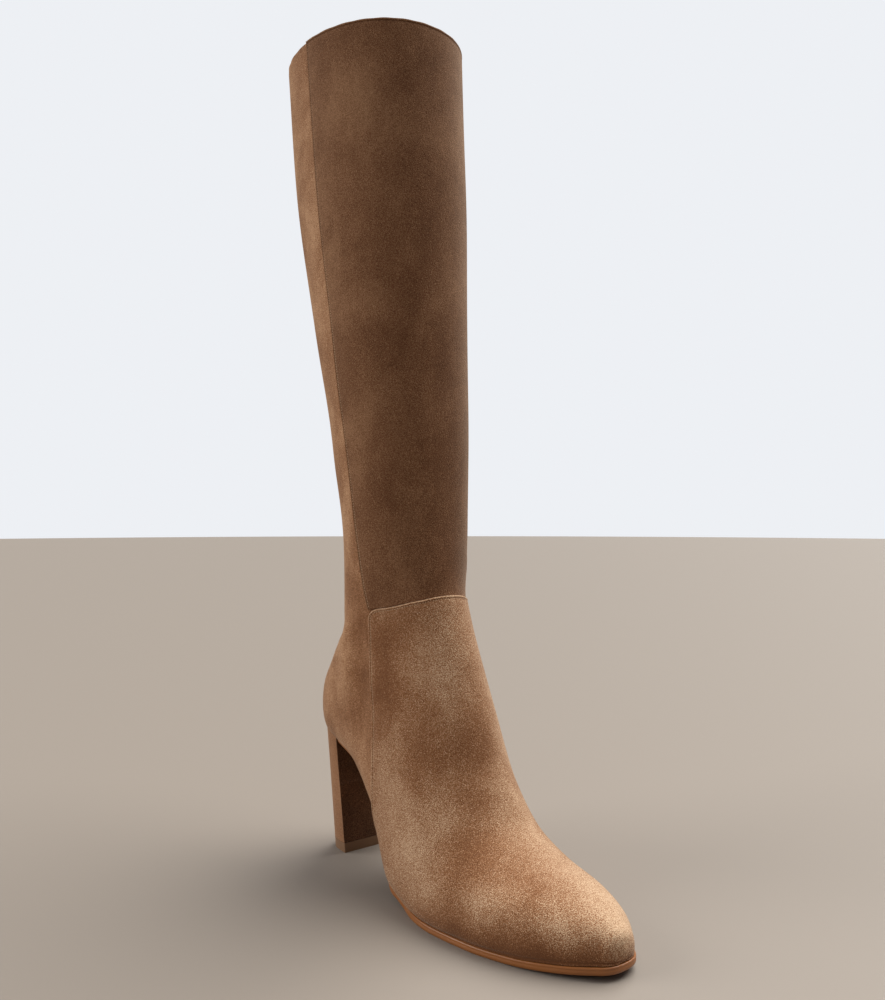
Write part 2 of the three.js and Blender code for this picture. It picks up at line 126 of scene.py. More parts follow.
soft_light("light_inner_side", (-0.62, 0.05, -1), 4.5, 55, (1, 0.97, 0.93))
soft_light("light_outer_side", (0.8, -0.5, -0.45), 1.9, 40, (1, 0.97, 0.94))
soft_light("light_above", (-0.1, -0.1, -1), 0.5, 60, (1, 0.98, 0.96))

# The upper: suede on a smooth leather lining, stretched over a last and open at the collar. The shaft's
# back half and the heel counter are one piece of suede that shows behind the side seams. It runs on
# under the vamp and the front panel, which are sewn over it.
HEEL_BACK = 0.09575  # where the back of the heel counter lies along Y
FOOT_LENGTH = 0.227
BALL_WIDTH = 0.076
HEEL_WIDTH = 0.068
INSTEP_HEIGHT = 0.152
SEAT_HEIGHT = 0.078
BALL_LEVEL = 0.0038
TOE_SPRING = 0.0035
FEATHER_DROP = 0.006
BOOT_HEIGHT = 0.487
ANKLE_HEIGHT = 0.192
ANKLE_DEPTH = 0.070
ANKLE_WIDTH = 0.071
ANKLE_CENTRE = 0.059
CALF_DEPTH = 0.123
CALF_WIDTH = 0.097
SHAFT_LEAN = 0.035
SUEDE_THICKNESS = 0.001
WALL = 0.0018

# Sections of the foot: station, top point along and up, low point along and up, half widths on the
# outer and inner side, place of the widest point, roundness above and below it
TOE_TO_WAIST = [
    [0.005, 0.9955, 0.116, 0.994, 0.05, 0.07, 0.075, 0.4, 2.2, 2.6],
    [0.02, 0.978, 0.136, 0.969, 0, 0.145, 0.155, 0.38, 2.2, 2.8],
    [0.06, 0.931, 0.166, 0.906, 0, 0.285, 0.275, 0.36, 2.2, 3.0],
    [0.12, 0.861, 0.196, 0.814, 0, 0.415, 0.37, 0.34, 2.2, 3.2],
    [0.2, 0.773, 0.225, 0.703, 0, 0.51, 0.435, 0.32, 2.1, 3.2],
    [0.28, 0.677, 0.292, 0.58, 0, 0.555, 0.465, 0.3, 2.1, 3.3],
    [0.36, 0.602, 0.455, 0.43, 0, 0.53, 0.45, 0.3, 2.1, 3.3],
]
WAIST_TO_ANKLE = [
    [0.42, 0.551, 0.66, 0.315, 0, 0.525, 0.48, 0.32, 2.1, 3.2],
    [0.48, 0.505, 0.845, 0.178, 0, 0.51, 0.49, 0.36, 2.1, 3.4],
    [0.53, 0.459, 1.0, 0.045, 0, 0.515, 0.51, 0.4, 2.1, 3.4],
    [0.57, 0.435, 1.09, 0.002, 0.17, 0.505, 0.505, 0.44, 2.1, 2.6],
    [0.595, 0.428, 1.14, 0.028, 0.31, 0.5, 0.505, 0.45, 2.1, 2.3],
    [0.62, 0.423, 1.19, 0.078, 0.42, 0.495, 0.5, 0.46, 2.1, 2.2],
    [0.645, 0.418, 1.25, 0.107, 0.57, 0.5, 0.5, 0.48, 2.1, 2.2],
]
# Sections of the shaft: station, then the shares of the way from ankle to collar in height, depth, width
# and lean, and how far the front lies above the back
SHAFT_ROWS = [
    [0.67, 0, 0, 0, 0, 0.2],
    [0.73, 0.17, 0.16, 0.24, 0.15, 0],
    [0.81, 0.435, 0.5, 0.62, 0.46, 0],
    [0.91, 0.73, 0.84, 0.93, 0.8, 0],
    [1, 1, 1, 1, 1, 0],
]
SHAFT_ROUNDNESS = 2.1
# The upper's bottom edge from the side: along, rise, spring
SEAT_ROWS = [
    [-0.15, 1.04, 0], [0, 1, 0], [0.06, 0.985, 0], [0.12, 0.935, 0], [0.2, 0.795, 0], [0.28, 0.575, 0],
    [0.35, 0.32, 0], [0.41, 0.12, 0], [0.46, 0.03, 0], [0.52, 0, 0], [0.76, 0, 0], [0.84, 0, 0.12],
    [0.92, 0, 0.48], [1.02, 0, 1.05],
]


def curve_through(places, values):
    places = np.array(places, float)
    values = np.array(values, float)
    gaps = np.diff(places)
    slopes = np.diff(values) / gaps
    tangents = np.concatenate([slopes[:1], np.zeros(len(gaps) - 1), slopes[-1:]])
    for i in range(1, len(gaps)):
        if slopes[i - 1] * slopes[i] > 0:
            before = 2 * gaps[i] + gaps[i - 1]
            after = gaps[i] + 2 * gaps[i - 1]
            tangents[i] = (before + after) / (before / slopes[i - 1] + after / slopes[i])

    def curve(place):
        i = np.clip(np.searchsorted(places, place, side="right") - 1, 0, len(gaps) - 1)
        t = (place - places[i]) / gaps[i]
        start = (1 + 2 * t) * (1 - t) ** 2 * values[i]
        end = t**2 * (3 - 2 * t) * values[i + 1]
        turn = t * (1 - t) ** 2 * tangents[i] - t**2 * (1 - t) * tangents[i + 1]
        return start + end + turn * gaps[i]

    return curve


seat_along, seat_rise, seat_spring = np.array(SEAT_ROWS, float).T
seat_height = curve_through(
    seat_along * FOOT_LENGTH, BALL_LEVEL + seat_rise * (SEAT_HEIGHT - BALL_LEVEL) + seat_spring * TOE_SPRING
)


def foot_section(row, girth):
    at, top_along, top_up, low_along, low_up, lateral, medial, widest, top_power, low_power = row
    low = low_along * FOOT_LENGTH
    low_height = float(seat_height(low)) - FEATHER_DROP + low_up * (ANKLE_HEIGHT - SEAT_HEIGHT)
    top = (top_along * FOOT_LENGTH, top_up * INSTEP_HEIGHT)
    return [at, *top, low, low_height, lateral * girth, medial * girth, widest, top_power, low_power]


def shaft_section(row):
    at, up, depth, width, lean, tilt = row
    centre = ANKLE_CENTRE - lean * SHAFT_LEAN
    half_depth = (ANKLE_DEPTH + depth * (CALF_DEPTH - ANKLE_DEPTH)) / 2
    half_width = (ANKLE_WIDTH + width * (CALF_WIDTH - ANKLE_WIDTH)) / 2
    height = ANKLE_HEIGHT + up * (BOOT_HEIGHT - ANKLE_HEIGHT)
    lift = tilt * ANKLE_DEPTH / 2
    ends = [centre + half_depth, height + lift, centre - half_depth, height - lift]
    return [at, *ends, half_width, half_width, 0.5, SHAFT_ROUNDNESS, SHAFT_ROUNDNESS]


toe_height = float(seat_height(FOOT_LENGTH)) + FEATHER_DROP
sections = np.array(
    [[0, FOOT_LENGTH, toe_height, FOOT_LENGTH, toe_height, 0, 0, 0.4, 2.2, 2.6]]
    + [foot_section(row, BALL_WIDTH) for row in TOE_TO_WAIST]
    + [foot_section(row, HEEL_WIDTH) for row in WAIST_TO_ANKLE]
    + [shaft_section(row) for row in SHAFT_ROWS]
)
section_curves = [curve_through(sections[:, 0], sections[:, k]) for k in range(1, 10)]


def section_at(station):
    return [curve(station) for curve in section_curves]


# A point of the last. turn is 0 at the low point and half a turn at the top, first up the outer side.
def last_point(station, turn):
    top, top_height, low, low_height, lateral, medial, widest, top_power, low_power = section_at(station)
    rise = -np.cos(turn)
    aside = -np.sin(turn)
    power = np.where(rise > 0, top_power, low_power)
    reach = np.abs(rise) ** (2 / power)
    share = np.where(rise > 0, widest + (1 - widest) * reach, widest * (1 - reach))
    half = np.where(aside > 0, medial, lateral)
    x = np.sign(aside) * half * np.abs(aside) ** (2 / power)
    along = low + share * (top - low)
    height = low_height + share * (top_height - low_height)
    return np.stack([x, HEEL_BACK - along, height], -1)


def last_normal(station, turn):
    step_station, step_turn = 0.0008, 0.012
    ahead = np.clip(station + step_station, 0.0004, 1)
    behind = np.clip(station - step_station, 0.0004, 1)
    up = last_point(ahead, turn) - last_point(behind, turn)
    near = np.maximum(station, 0.0004)
    round_ = last_point(near, turn + step_turn) - last_point(near, turn - step_turn)
    normal = np.cross(round_, up)
    size = np.linalg.norm(normal, axis=-1, keepdims=True)
    whole = (size > 1e-13) & (station[..., None] > 1e-6)
    return np.where(whole, normal / np.maximum(size, 1e-13), [0, -1, 0])


# Soft troughs and ridges that wear and shaping leave in every layer. A fold is on the outer side (-1), the
# inner side (1) or both (0), tilted from level, and fades at the front and back over SIDE_FADE.
SIDE_FADE = 0.006
CREASES = [
    # side, along, up, half length, half width, tilt, depth
    (0, 0.102, 0.176, 0.026, 0.020, -0.2, 0.0013),
    (0, 0.118, 0.120, 0.032, 0.020, -0.7, -0.0014),
    (0, 0.006, 0.131, 0.028, 0.007, 0.15, -0.0026),
    (0, 0.006, 0.121, 0.026, 0.012, 0.15, -0.0026),
    (0, 0.008, 0.184, 0.022, 0.024, 0.1, 0.0008),
    (0, 0.004, 0.222, 0.030, 0.030, 0.1, 0.0013),
    (0, 0.095, 0.250, 0.030, 0.040, 0.1, 0.0009),
    (-1, 0.063, 0.122, 0.036, 0.007, 1.72, -0.0012),
    (-1, 0.047, 0.116, 0.026, 0.007, 1.75, 0.0011),
    (1, 0.056, 0.120, 0.045, 0.011, 1.75, -0.0009),
    (1, 0.036, 0.118, 0.040, 0.009, 1.75, 0.0005),
    (0, 0.132, 0.075, 0.022, 0.010, -0.8, -0.0005),
    (-1, 0.040, 0.300, 0.060, 0.014, 1.35, -0.0007),
    (1, 0.045, 0.330, 0.060, 0.014, 1.45, -0.0006),
    (0, 0.080, 0.395, 0.045, 0.016, 1.4, 0.0006),
]


def crease_at(points):
    along = HEEL_BACK - points[..., 1]
    depth = np.zeros(points.shape[:-1])
    for side, at, up, half_length, half_width, tilt, size in CREASES:
        ahead = along - at
        above = points[..., 2] - up
        length = (ahead * math.cos(tilt) + above * math.sin(tilt)) / half_length
        across = (above * math.cos(tilt) - ahead * math.sin(tilt)) / half_width
        fold = size * np.exp(-(length**2) - across**2)
        if side != 0:
            fold = fold / (1 + np.exp(-side * points[..., 0] / SIDE_FADE))
        depth += fold
    return depth


def on_last(station, turn, growth):
    points = last_point(station, turn)
    return points + last_normal(station, turn) * (growth + crease_at(points))[..., None]


def share_to_turn(share, widest, top_power, low_power):
    above = np.clip((share - widest) / (1 - widest), 0, 1) ** (top_power / 2)
    below = np.clip(1 - share / widest, 0, 1) ** (low_power / 2)
    return np.where(share > widest, np.arccos(-above), np.arccos(below))


# Where each section crosses the bottom edge line, as a turn, or 0 where it lies above the line
def seat_turn(station):
    top, top_height, low, low_height, lateral, medial, widest, top_power, low_power = section_at(station)
    under, over = np.zeros_like(station), widest.copy()
    for _ in range(40):
        middle = (under + over) / 2
        along = low + middle * (top - low)
        high = low_height + middle * (top_height - low_height) > seat_height(along)
        over = np.where(high, middle, over)
        under = np.where(high, under, middle)
    return np.where(low_height > seat_height(low), 0, share_to_turn(under, widest, top_power, low_power))


# Station and turn of points that are drawn in the side view, on the outer side
def from_side(along, up):
    early, late = np.full(along.shape, 0.01), np.full(along.shape, 1.0)
    for _ in range(45):
        middle = (early + late) / 2
        top, top_height, low, low_height = section_at(middle)[:4]
        behind = (top - low) * (up - low_height) - (top_height - low_height) * (along - low) > 0
        early = np.where(behind, middle, early)
        late = np.where(behind, late, middle)
    top, top_height, low, low_height, _, _, widest, top_power, low_power = section_at(early)
    line = np.stack([top - low, top_height - low_height])
    share = ((along - low) * line[0] + (up - low_height) * line[1]) / (line**2).sum(0)
    return early, share_to_turn(share, widest, top_power, low_power), share


# Patches of painted light and shade, with some brushed nap, that make the suede lighter or darker:
# along, across, up and size in millimetres, and lean
def nap_and_painted_light_at(points, nap_and_painted_light_patches):
    lean = np.zeros(points.shape[:-1])
    for *place, amount in nap_and_painted_light_patches:
        along, aside, up, reach = np.array(place) / 1000
        away = points - np.array([aside, HEEL_BACK - along, up])
        lean += amount * np.exp(-((away / reach) ** 2).sum(-1))
    return lean


# Distances from each place to the nearest point of an edge
def distance_to(edges, places):
    tree = kdtree.KDTree(len(edges))
    for k, point in enumerate(edges):
        tree.insert(point, k)
    tree.balance()
    found = [tree.find(p)[2] for p in places.reshape(-1, 3)]
    return np.array(found).reshape(places.shape[:-1])


# Faces of a closed shell over two nets of points, the outer net first. Points that fall together count
# as one.
def shell_faces(shell, rows, columns):
    count = rows * columns
    cells = np.round(shell * WELD_CELLS).astype(np.int64)
    _, first, same = np.unique(cells, axis=0, return_index=True, return_inverse=True)
    merged = first[same.reshape(-1)]
    faces = []
    for i in range(rows - 1):
        for j in range(columns - 1):
            a = i * columns + j
            corners = [a, a + columns, a + columns + 1, a + 1]
            for shift, order in ((0, -1), (count, 1)):
                ring = list(dict.fromkeys(int(merged[c + shift]) for c in corners))[::order]
                if len(ring) > 2:
                    faces.append(ring)
    half_edges = dict.fromkeys(edge for face in faces for edge in zip(face, face[1:] + face[:1]))
    lowest = {}
    for c in range(count):
        lowest.setdefault(int(merged[c]), int(merged[c + count]))
    for a, b in half_edges:
        if (b, a) not in half_edges and a in lowest and b in lowest:
            rim = list(dict.fromkeys([b, a, lowest[a], lowest[b]]))
            if len(rim) > 2:
                faces.append(rim)
    return faces


# A closed piece of leather from a net of places on the last. Its cut edges are rounded off, and a folded
# and sewn edge has a bead, and a groove where the thread pulls it down.
WELD_CELLS = 2e6
BEAD_HEIGHT, BEAD_WIDTH, BEAD_SHARE = 0.00016, 0.0005, 0.45
GROOVE_DEPTH, GROOVE_WIDTH = 0.00024, 0.00042


def leather_piece(name, station, turn, outer, inner, material, edges, rounding, sewn=0, nap_and_painted_light_patches=()):
    rows, columns = station.shape
    distance = distance_to(edges, last_point(station, turn))
    inside = np.minimum(distance / rounding, 1)
    growth = outer - rounding * (1 - np.sqrt(1 - (1 - inside) ** 2))
    if sewn:
        growth += BEAD_HEIGHT * np.exp(-(((distance - BEAD_SHARE * sewn) / BEAD_WIDTH) ** 2))
        growth -= GROOVE_DEPTH * np.exp(-(((distance - sewn) / GROOVE_WIDTH) ** 2))
    shell = np.concatenate([on_last(station, turn, growth), on_last(station, turn, inner + 0 * growth)])
    shell = shell.reshape(-1, 3)
    shell[:, 2] = np.maximum(shell[:, 2], seat_height(HEEL_BACK - shell[:, 1]))
    faces = shell_faces(shell, rows, columns)
    used = sorted({c for face in faces for c in face})
    place = {c: k for k, c in enumerate(used)}
    piece = mesh_piece(name, shell[used], [[place[c] for c in face] for face in faces], material)
    # Each point stores its distance from the edge, and the patches' nap and painted light and shade
    both = np.concatenate([distance.reshape(-1), distance.reshape(-1)])
    for layer, values in (("edge_distance", both), ("nap_and_painted_light", nap_and_painted_light_at(shell, nap_and_painted_light_patches))):
        written = piece.data.attributes.new(layer, "FLOAT", "POINT")
        written.data.foreach_set("value", values[used].astype(np.float32))
    piece.data.shade_smooth()
    piece.data.set_sharp_from_angle(angle=math.radians(48))
    return piece


def shader_group(name, colours, amounts):
    group = bpy.data.node_groups.new(name, "ShaderNodeTree")
    for socket in colours:
        group.interface.new_socket(socket, in_out="INPUT", socket_type="NodeSocketColor")
    for socket in amounts:
        group.interface.new_socket(socket, in_out="INPUT", socket_type="NodeSocketFloat")
    for socket, kind in (("Colour", "Color"), ("Roughness", "Float"), ("Height", "Float")):
        group.interface.new_socket(socket, in_out="OUTPUT", socket_type="NodeSocket" + kind)
    return group, group.nodes.new("NodeGroupInput").outputs, group.nodes.new("NodeGroupOutput").inputs


# Brushed suede: a mottle of nap that lies this way and that, fine pale and dark fibre ends, and a short
# nap in the bump
def build_suede():
    group, given, give = shader_group(
        "brushed_suede", ("Shade", "Colour", "Light"), ("Mottle", "Fibre", "Patch Size", "Nap And Painted Light")
    )
    place = add_node(group, "ShaderNodeTexCoord").outputs["Object"]

    def calc(operation, a, b):
        return add_node(group, "ShaderNodeMath", {0: a, 1: b}, operation=operation).outputs[0]

    def weighted(*parts):
        total = 0
        for value, weight in parts:
            total = calc("ADD", total, calc("MULTIPLY", value, weight))
        return total

    def speckle(scale, detail, roughness, stretch=(1, 1, 1), distortion=0.0):
        mapping = add_node(group, "ShaderNodeMapping", {"Vector": place, "Scale": stretch})
        values = {"Vector": mapping.outputs["Vector"], "Scale": scale, "Detail": detail}
        values |= {"Roughness": roughness, "Distortion": distortion}
        return calc("SUBTRACT", add_node(group, "ShaderNodeTexNoise", values).outputs["Fac"], 0.5)

    def mixed(factor, a, b):
        values = {"Factor": factor, "A": a, "B": b}
        return add_node(group, "ShaderNodeMix", values, data_type="RGBA").outputs["Result"]

    broad = speckle(given["Patch Size"], 3, 0.55, distortion=0.6)
    strokes = speckle(120, 3, 0.6, stretch=(1, 1, 0.35), distortion=0.4)
    clumps = speckle(420, 2, 0.6)
    fibres = speckle(1400, 1, 0.6)
    tips = speckle(2700, 1, 0.6)
    mottle = calc("MULTIPLY", weighted((broad, 1.7), (strokes, 0.7), (clumps, 0.3)), given["Mottle"])
    nap = calc("MULTIPLY", weighted((fibres, 1.0), (tips, 3.6)), given["Fibre"])
    # The nap and painted light input shifts the tone: lighter for painted highlights, darker for painted
    # shade
    tone = calc("ADD", calc("ADD", calc("ADD", mottle, nap), 0.5), given["Nap And Painted Light"])
    low = mixed(calc("MULTIPLY", tone, 2), given["Shade"], given["Colour"])
    high = mixed(calc("SUBTRACT", calc("MULTIPLY", tone, 2), 1), low, given["Light"])
    group.links.new(high, give["Colour"])
    group.links.new(calc("SUBTRACT", 1.0, calc("MULTIPLY", tone, 0.16)), give["Roughness"])
    group.links.new(weighted((fibres, 1.3), (tips, 0.9), (clumps, 0.5)), give["Height"])
    return group


suede = build_suede()


# A material round one of the shader groups
def skin_material(name, group, values, strength, relief):
    material = bpy.data.materials.new(name)
    material.use_nodes = True
    tree = material.node_tree
    skin = add_node(tree, "ShaderNodeGroup", values, node_tree=group)
    values = {"Strength": strength, "Distance": relief, "Height": skin.outputs["Height"]}
    bump = add_node(tree, "ShaderNodeBump", values)
    shader = tree.nodes["Principled BSDF"]
    tree.links.new(skin.outputs["Colour"], shader.inputs["Base Color"])
    tree.links.new(skin.outputs["Roughness"], shader.inputs["Roughness"])
    tree.links.new(bump.outputs["Normal"], shader.inputs["Normal"])
    return material, shader, skin


# Beside a sewn edge the suede is paler on the bead, partly as rubbed nap and partly as painted highlight,
# and darker in the groove as painted shade: place as a share of the seam's distance from the edge, width and
# lean
SEAM_HIGHLIGHT_AND_SHADE = [(0.32, 0.0007, 0.3), (1, 0.00045, -0.55)]
NAP_PATCH = 26


def suede_material(name, shade, colour, light, mottle, fibre, sewn=0.0):
    values = {"Shade": (*shade, 1), "Colour": (*colour, 1), "Light": (*light, 1)}
    values |= {"Mottle": mottle, "Fibre": fibre, "Patch Size": NAP_PATCH}
    material, shader, nap = skin_material(name, suede, values, 0.5, 0.0005)
    tree = material.node_tree
    lean_and_painted_light = add_node(tree, "ShaderNodeAttribute", attribute_name="nap_and_painted_light").outputs["Fac"]
    # Painted highlight on the bead and painted shade in the groove beside each sewn edge
    if sewn:
        distance = add_node(tree, "ShaderNodeAttribute", attribute_name="edge_distance").outputs["Fac"]
        for share, width, lean in SEAM_HIGHLIGHT_AND_SHADE:
            off = add_node(tree, "ShaderNodeMath", {0: distance, 1: share * sewn}, operation="SUBTRACT")
            near = add_node(tree, "ShaderNodeMath", {0: off.outputs[0]}, operation="ABSOLUTE")
            values = {"Value": near.outputs[0], "From Max": width, "To Min": lean, "To Max": 0}
            fade = add_node(tree, "ShaderNodeMapRange", values, interpolation_type="SMOOTHSTEP")
            lean_and_painted_light = add_node(tree, "ShaderNodeMath", {0: lean_and_painted_light, 1: fade.outputs["Result"]}).outputs[0]
    tree.links.new(lean_and_painted_light, nap.inputs["Nap And Painted Light"])
    shader.inputs["Specular IOR Level"].default_value = 0.15
    shader.inputs["Sheen Weight"].default_value = 0.32
    shader.inputs["Sheen Roughness"].default_value = 0.4
    shader.inputs["Sheen Tint"].default_value = (1, 0.84, 0.66, 1)
    return material


BACK_SUEDE = suede_material(
    "back_nap", (0.14, 0.055, 0.022), (0.3, 0.138, 0.062), (0.56, 0.34, 0.195), mottle=0.7, fibre=0.7
)


def length_along(points):
    return np.concatenate([[0], np.cumsum(np.linalg.norm(np.diff(points, axis=0), axis=1))])


# Net of the whole upper, from the toe to the collar, closer where the bottom edge opens and closes
UPPER_ROWS = 230
UPPER_COLUMNS = 168
dense = np.linspace(0, 1, 3001)
dense_mean = (last_point(dense, 0 * dense) + last_point(dense, 0 * dense + math.pi)) / 2
dense_length = length_along(dense_mean)
open_stations = dense[seat_turn(dense) > 0]
crowd = np.linspace(0, 1, 14) ** 2
stations = np.concatenate([
    np.interp(np.linspace(0, 1, UPPER_ROWS), dense_length / dense_length[-1], dense),
    open_stations[0] + 0.012 * crowd,
    open_stations[-1] - 0.035 * crowd,
    open_stations[-1] + 0.02 * crowd[1:],
    [0.001, 0.003, 0.006],
])
stations = np.unique(np.round(stations, 6))
upper_seat = seat_turn(stations)[:, None]
across = np.linspace(0, 1, UPPER_COLUMNS + 1)[None, :]
upper_station = stations[:, None] + 0 * across
upper_turn = upper_seat + (2 * math.pi - 2 * upper_seat) * across
collar_turns = np.linspace(0, 2 * math.pi, 700)
collar_line = last_point(1 + 0 * collar_turns, collar_turns)
# Painted light and shade on the back piece: painted shade in the hollows at the ankle and low at the back of
# the counter, painted highlights on the ridge between them and up the back of the shaft
BACK_PAINTED_LIGHT_AND_NAP = [
    (67, -33, 136, 11, -0.4), (67, -34, 116, 10, -0.42), (66, -35, 98, 9, -0.28),
    (50, -36, 162, 14, -0.26), (56, -34, 85, 12, -0.12), (46, -34, 124, 8, 0.16), (48, -35, 106, 9, 0.14),
    (24, -34, 118, 14, 0.14), (8, -24, 86, 14, -0.22), (0, -40, 350, 50, 0.12), (26, -38, 245, 30, 0.18),
]
upper_shell = leather_piece(
    "upper_suede", upper_station, upper_turn, 0.0, -SUEDE_THICKNESS, BACK_SUEDE, collar_line,
    rounding=0.0005, nap_and_painted_light_patches=BACK_PAINTED_LIGHT_AND_NAP,
)
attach(upper_shell, "root")
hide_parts("upper")

# The lining: smooth pale leather glued inside the suede up to the folded collar, open where the sole closes
# the foot. It has fine pores and streaks.
def build_leather():
    amounts = ("Grain Size", "Streaks", "Gloss")
    group, given, give = shader_group("smooth_leather", ("Colour", "Dark"), amounts)
    place = add_node(group, "ShaderNodeTexCoord").outputs["Object"]
    grain = add_node(group, "ShaderNodeTexVoronoi", {"Vector": place, "Scale": given["Grain Size"]})
    flat = add_node(group, "ShaderNodeMapping", {"Vector": place, "Scale": (1, 1, 9)}).outputs["Vector"]
    streak = add_node(group, "ShaderNodeTexNoise", {"Vector": flat, "Scale": 70, "Detail": 4}).outputs["Fac"]
    amount = add_node(group, "ShaderNodeMath", {0: streak, 1: given["Streaks"]}, operation="MULTIPLY")
    values = {"Factor": amount.outputs[0], "A": given["Colour"], "B": given["Dark"]}
    blend = add_node(group, "ShaderNodeMix", values, data_type="RGBA")
    values = {0: streak, 1: 0.25, 2: given["Gloss"]}
    gloss = add_node(group, "ShaderNodeMath", values, operation="MULTIPLY_ADD")
    group.links.new(blend.outputs["Result"], give["Colour"])
    group.links.new(gloss.outputs[0], give["Roughness"])
    group.links.new(grain.outputs["Distance"], give["Height"])
    return group


smooth_leather = build_leather()


def leather_material(name, colour, dark, grain, streaks, gloss, relief=0.0001):
    values = {"Colour": (*colour, 1), "Dark": (*dark, 1)}
    values |= {"Grain Size": grain, "Streaks": streaks, "Gloss": gloss}
    return skin_material(name, smooth_leather, values, 0.4, relief)[0]


LINING_LEATHER = leather_material("lining_leather", (0.46, 0.31, 0.18), (0.36, 0.23, 0.13), 1100, 0.6, 0.5)
lining_rows = np.unique(np.append(np.arange(0, len(stations), 2), len(stations) - 1))
lining_net = np.ix_(lining_rows, np.arange(0, UPPER_COLUMNS + 1, 2))
LINING_GLUE = 0.00004
lining = leather_piece(
    "lining", upper_station[lining_net], upper_turn[lining_net], -SUEDE_THICKNESS - LINING_GLUE, -WALL,
    LINING_LEATHER, collar_line, rounding=0.0003,
)
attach(lining, "root")
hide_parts("upper")

# The vamp: a second layer of suede from the toe up to the front of the ankle, lapped over the back piece
# and the front panel. Its top and rear edges are folded to a thin bead with one row of stitches.
VAMP_INNER = 0.0003
VAMP_OUTER = 0.0020
VAMP_CORNER_HEIGHT = 0.152
VAMP_CORNER_ROUNDING = 0.008
VAMP_EDGE = [(0.36, -0.1), (0.352, 0.35), (0.345, 0.6), (0.323, 0.76)]
VAMP_CORNER = (0.298, 1)
VAMP_TOP = [(0.37, 1.018), (0.46, 1.052), (0.6, 1.066)]
VAMP_SEAM = 0.0017  # the stitches' distance from the edge
VAMP_SUEDE = suede_material(
    "vamp_nap", (0.135, 0.052, 0.02), (0.28, 0.124, 0.053), (0.62, 0.435, 0.28),
    mottle=0.4, fibre=0.66, sewn=VAMP_SEAM,
)


def smooth_line(points, steps=60):
    points = np.array(points, float)
    ends = np.concatenate([points[:1], points, points[-1:]])
    t = np.linspace(0, 1, steps, endpoint=False)[:, None]
    line = []
    for before, a, b, after in zip(ends, ends[1:], ends[2:], ends[3:]):
        start, end = (b - before) / 2, (after - a) / 2
        cubic, square = 2 * a - 2 * b + start + end, -3 * a + 3 * b - 2 * start - end
        line.append(cubic * t**3 + square * t**2 + start * t + a)
    return np.concatenate(line + [points[-1:]])


def vamp_place(point):
    return np.array([point[0] * FOOT_LENGTH, point[1] * VAMP_CORNER_HEIGHT])


vamp_corner = vamp_place(VAMP_CORNER)


def beside_corner(point):
    away = vamp_place(point) - vamp_corner
    return vamp_corner + away * VAMP_CORNER_ROUNDING / np.linalg.norm(away)


below_corner, past_corner = beside_corner(VAMP_EDGE[-1]), beside_corner(VAMP_TOP[0])
rear_line = smooth_line([vamp_place(p) for p in VAMP_EDGE] + [below_corner])
rear_line = rear_line[rear_line[:, 1] > seat_height(rear_line[:, 0])]
bend = np.linspace(0, 1, 41)[:, None]
corner_line = (1 - bend) ** 2 * below_corner + 2 * bend * (1 - bend) * vamp_corner + bend**2 * past_corner
top_line = smooth_line([past_corner] + [vamp_place(p) for p in VAMP_TOP])


# Station and turn along a line of the side view, up to the middle of the front. Close to the middle, where
# the side view says little, the line is rounded off evenly.
MIDDLE_REACH, BESIDE_REACH = 0.35, 0.95


def wrap_line(line):
    station, turn, share = from_side(line[:, 0], line[:, 1])
    off_middle = math.pi - turn
    beside = (share < 0.9995) & (off_middle > MIDDLE_REACH)
    close = beside & (off_middle < BESIDE_REACH)
    bow = np.polyfit(off_middle[close] ** 2, station[close], 2)
    rest = np.linspace(MIDDLE_REACH, 0, 15)
    return np.append(station[beside], np.polyval(bow, rest**2)), np.append(turn[beside], math.pi - rest)


def evenly_on_last(station, turn, count, extra=()):
    length = length_along(last_point(station, turn))
    where = np.linspace(0, length[-1], count)
    for value in extra:
        where = np.append(where, value if value >= 0 else length[-1] + value)
    where = np.unique(np.round(where, 6))
    return np.interp(where, length, station), np.interp(where, length, turn)


EDGE_STEPS = (0.00012, 0.0003, 0.00055, 0.0009, 0.0013, 0.0017, 0.0021, 0.0026)

# The outer side's border: the bottom edge from the toe to the arch, then the rear edge up to the corner
rear_edge = np.concatenate([rear_line, corner_line[1:21]])
rear_station, rear_turn, _ = from_side(rear_edge[:, 0], rear_edge[:, 1])
sole_station = np.linspace(0, rear_station[0], 900)
sole_station = sole_station[sole_station < rear_station[0]]
sole_turn = seat_turn(sole_station)
border_station, border_turn = evenly_on_last(
    np.concatenate([sole_station, rear_station]), np.concatenate([sole_turn, rear_turn]), 236,
    extra=[-d for d in EDGE_STEPS] + [0.0003, 0.0007, 0.0012, 0.002],
)
top_station, top_turn = wrap_line(np.concatenate([corner_line[20:], top_line[1:]]))
whole_station = np.concatenate([top_station, top_station[-2::-1]])
whole_turn = np.concatenate([top_turn, 2 * math.pi - top_turn[-2::-1]])
both_ends = list(EDGE_STEPS) + [-d for d in EDGE_STEPS]
across_top_station, across_top_turn = evenly_on_last(whole_station, whole_turn, 150, extra=both_ends)


# A net of places between two side borders and a far edge, from a near edge, all in station and turn
def net_between(border, near, far):
    u, v = length_along(last_point(*far))[None, :], length_along(last_point(*border))[:, None]
    u, v = u / u[0, -1], v / v[-1, 0]
    nets = []
    for k in range(2):
        left, bottom, top = border[k], near[k], far[k]
        right = 2 * math.pi - left if k == 1 else left
        net = (1 - u) * left[:, None] + u * right[:, None] + (1 - v) * bottom[None, :] + v * top[None, :]
        corners = (1 - u) * (1 - v) * left[0] + u * (1 - v) * right[0]
        corners = corners + (1 - u) * v * left[-1] + u * v * right[-1]
        nets.append(net - corners)
    return nets


